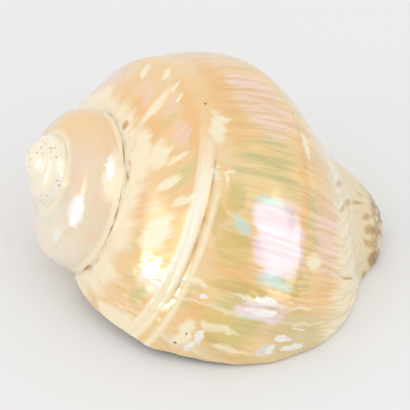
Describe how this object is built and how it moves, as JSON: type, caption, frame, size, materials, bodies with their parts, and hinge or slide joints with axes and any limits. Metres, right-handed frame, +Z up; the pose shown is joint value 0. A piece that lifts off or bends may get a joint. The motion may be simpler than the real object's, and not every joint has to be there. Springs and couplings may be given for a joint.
{
  "type": "polished pearl turban snail shell",
  "caption": "Large polished mother-of-pearl snail shell with rounded whorls, a blunt worn tip and a flared lobe at the foot of its open mouth, lying mouth down.",
  "frame": {"origin": "on the table, under the middle of the shell's bounding box", "axes": "+Z up from the table, with the mouth facing down; the tip points to -X and up, and the foot of the mouth with its lobe to +X; the outer lip is on the -Y side"},
  "size_m": [0.0998, 0.0928, 0.0586],
  "materials": {
    "nacre": "polished mother of pearl, peach and cream, with pink and pale green shimmer"
  },
  "bodies": {
    "root": {"shell": "nacre"}
  },
  "joints": []
}
